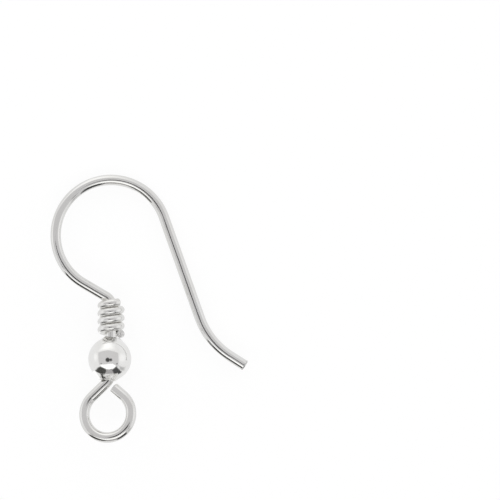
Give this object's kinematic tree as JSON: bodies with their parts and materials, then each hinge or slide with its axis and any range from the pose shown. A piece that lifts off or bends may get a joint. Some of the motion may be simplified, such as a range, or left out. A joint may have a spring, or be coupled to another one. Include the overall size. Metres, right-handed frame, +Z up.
{
  "type": "ear wire",
  "caption": "Fish-hook ear wire: one bent round wire with an arch for the ear and an open eye for a drop, with a loose hollow bead and a wire coil on its neck.",
  "frame": {"origin": "middle of the bounding box seen from above, on the surface that the ear wire lies on", "axes": "+Z up from that surface, +Y from the eye along the neck to the arch, +X from the arch towards the tail"},
  "size_m": [0.0138, 0.0186, 0.003],
  "materials": {
    "silver": "polished sterling silver, with soft draw lines along the wire"
  },
  "bodies": {
    "wire": {"ear_hook": "silver"},
    "bead": {"bead": "silver"},
    "coil": {"coil": "silver"}
  },
  "joints": [
    {"name": "bead_spin", "type": "hinge", "parent": "wire", "child": "bead", "pos_m": [-0.00273, -0.00352, 0.0015], "axis": [0.1266, 0.988, -0.0881], "continuous": true},
    {"name": "coil_spin", "type": "hinge", "parent": "wire", "child": "coil", "pos_m": [-0.00265, -0.00069, 0.00127], "axis": [-0.0034, 0.997, -0.0772], "range_deg": [-25, 160]}
  ]
}
